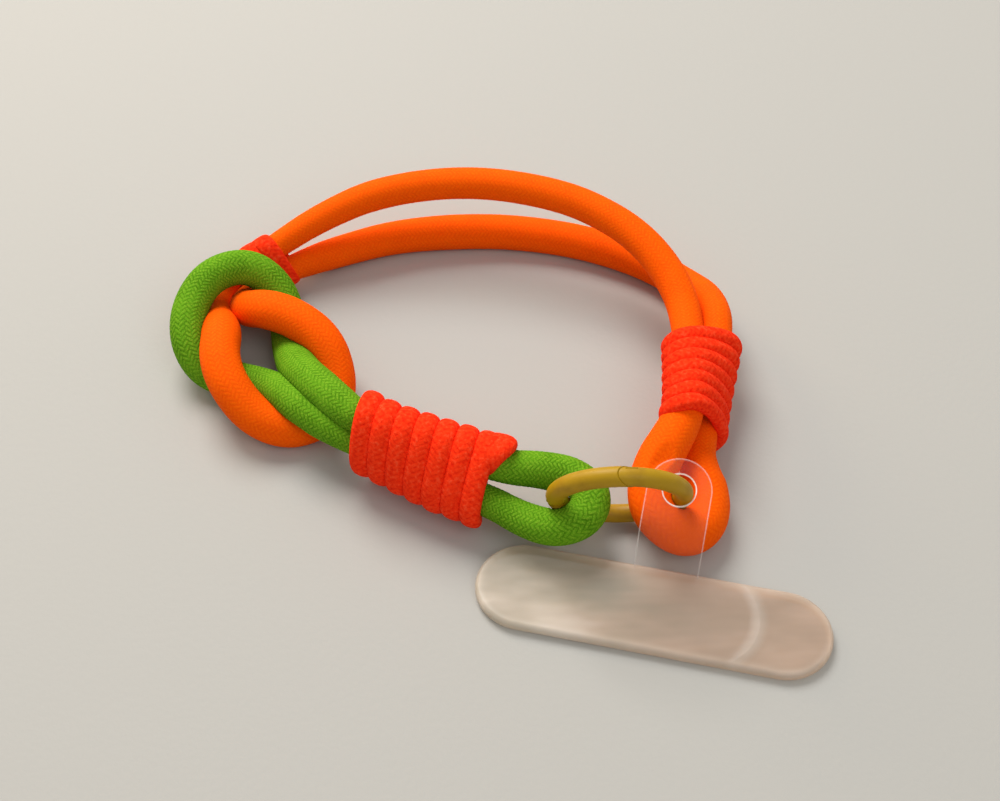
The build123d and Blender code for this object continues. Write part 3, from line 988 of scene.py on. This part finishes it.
class STRAP_OT_windings(Operator):
    """Wind the red cord round the ropes in three places"""

    bl_idname = "strap.windings"
    bl_label = "Windings"

    def execute(self, context):
        settings = context.scene.strap_windings
        # The third colour is the painted highlight on the cord's raised lumps.
        material = cord_material("red cord", settings.colour, settings.groove, (1.0, 0.10, 0.035))
        coarse = ROPE / 8
        ropes = {"orange": Rope("orange", ORANGE_ROUTE, ORANGE_GIRTH, coarse),
                 "green": Rope("green", GREEN_ROUTE, GREEN_GIRTH, coarse)}
        turn = np.arange(CORD_SIDES) * tau / CORD_SIDES
        strand = np.arange(CORD_SIDES) * CORD_CARRIERS / CORD_SIDES
        powers = np.abs(np.cos(turn)) ** CORD_POWER + np.abs(np.sin(turn)) ** CORD_POWER
        full = powers ** (-1 / CORD_POWER)
        for name, plan in WINDINGS.items():
            places, outs = winding_places(plan, ropes[plan["rope"]])
            dense = spline_line(name, places)
            share = np.linspace(0, len(places) - 1, len(dense))
            outs = [np.interp(share, range(len(outs)), outs[:, axis]) for axis in range(3)]
            along, line, *out = evenly(dense, CORD_SPACING, *outs)
            tangents = unit(np.gradient(line, axis=0))
            out = np.stack(out, axis=1)
            out = unit(out - (out * tangents).sum(axis=1, keepdims=True) * tangents)
            across = np.cross(tangents, out)
            cells = along / CORD_PICK
            relief = braid_relief(cells[:, None], strand[None, :])
            swell = 1 + settings.swell * (relief - 0.5)
            pitch = np.linalg.norm(np.subtract(plan["end"], plan["start"])) / (plan["turns"] - 1)
            width = pitch * plan["wide"]
            thick = plan["thickness"]
            rings = (line[:, None]
                     + out[:, None] * (thick / 2 * full * np.cos(turn) * swell)[..., None]
                     + across[:, None] * (width / 2 * full * np.sin(turn) * swell)[..., None])
            rings[..., 2] = np.maximum(rings[..., 2], FLOOR_GAP)
            piece = tube_object(name, rings, cells, CORD_CARRIERS)
            piece.data.materials.append(material)
            ride_as_cord(piece, plan["node"], (width + thick) / 2)
        return {"FINISHED"}


class STRAP_OT_ring(Operator):
    """Coat the spring gate ring and finish the steel parts inside its gate"""

    bl_idname = "strap.ring"
    bl_label = "Ring"

    def execute(self, context):
        settings = context.scene.strap_ring
        coat = coat_material("mustard coat", settings.coat, settings.worn)
        steel = steel_material("drawn steel")
        for node, material in (("ring_body", coat), ("ring_gate", coat), ("gate_hinge_pin", coat),
                               ("gate_plunger", steel), ("gate_spring", steel)):
            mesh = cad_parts[node].data
            mesh.materials.clear()
            mesh.materials.append(material)
        return {"FINISHED"}


class STRAP_OT_tab(Operator):
    """Make the clear neck and the frosted pad"""

    bl_idname = "strap.tab"
    bl_label = "Tether tab"

    def execute(self, context):
        settings = context.scene.strap_tab
        neck = bpy.data.objects.new("clear_neck", neck_mesh("clear_neck"))
        context.scene.collection.objects.link(neck)
        neck.data.transform(tab_place())
        neck.data.materials.append(clear_material("clear sheet", settings.neck_tint))
        # The cut edge and the hole rim carry a painted glow.
        neck.data.materials.append(glowing_edge_material("cut edge", settings.neck_tint, 0.17))
        neck.data.materials.append(glowing_edge_material("hole rim", settings.neck_tint, 0.62))

        rings = pad_rings(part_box("tether_pad")[1].z, settings.pad_edge)
        pad = tube_object("frosted_pad", rings, np.arange(len(rings)), 1)
        flat = np.array([pad.data.vertices[loop.vertex_index].co[:2] for loop in pad.data.loops])
        pad.data.uv_layers["cells"].data.foreach_set("uv", (flat * 1000).ravel())
        pad.data.transform(tab_place())
        pad.data.materials.append(frosted_material("frosted plate", settings.pad_tint,
                                                   settings.pad_cloud, settings.pad_reflection_tint))
        for piece, node, material_slot in ((neck, "tether_neck", "clear_plastic"),
                                           (pad, "tether_pad", "frosted_plastic")):
            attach(piece, "tab")
            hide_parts(node)
        return {"FINISHED"}


class STRAP_PT_panel(Panel):
    """The strap's pieces in the order that they are made"""

    bl_idname = "STRAP_PT_panel"
    bl_label = "Rope wrist strap"
    bl_space_type = "VIEW_3D"
    bl_region_type = "UI"
    bl_category = "Strap"

    def draw(self, context):
        for settings, operator in STEPS:
            box = self.layout.box()
            group = getattr(context.scene, settings)
            for name in group.bl_rna.properties.keys():
                if name not in ("rna_type", "name"):
                    box.prop(group, name)
            box.operator(operator)


STEPS = (
    ("strap_stage", "strap.stage"),
    ("strap_ropes", "strap.ropes"),
    ("strap_windings", "strap.windings"),
    ("strap_ring", "strap.ring"),
    ("strap_tab", "strap.tab"),
)
SETTINGS = {
    "strap_stage": StageSettings,
    "strap_ropes": RopeSettings,
    "strap_windings": WindingSettings,
    "strap_ring": RingSettings,
    "strap_tab": TabSettings,
}
CLASSES = (*SETTINGS.values(), STRAP_OT_stage, STRAP_OT_ropes, STRAP_OT_windings,
           STRAP_OT_ring, STRAP_OT_tab, STRAP_PT_panel)


def register():
    for item in CLASSES:
        bpy.utils.register_class(item)
    for name, group in SETTINGS.items():
        setattr(bpy.types.Scene, name, PointerProperty(type=group))


def unregister():
    for name in SETTINGS:
        delattr(bpy.types.Scene, name)
    for item in reversed(CLASSES):
        bpy.utils.unregister_class(item)


def main():
    register()
    bpy.ops.strap.stage()
    bpy.ops.strap.ropes()
    bpy.ops.strap.windings()
    bpy.ops.strap.ring()
    bpy.ops.strap.tab()


if __name__ == "__main__":
    main()
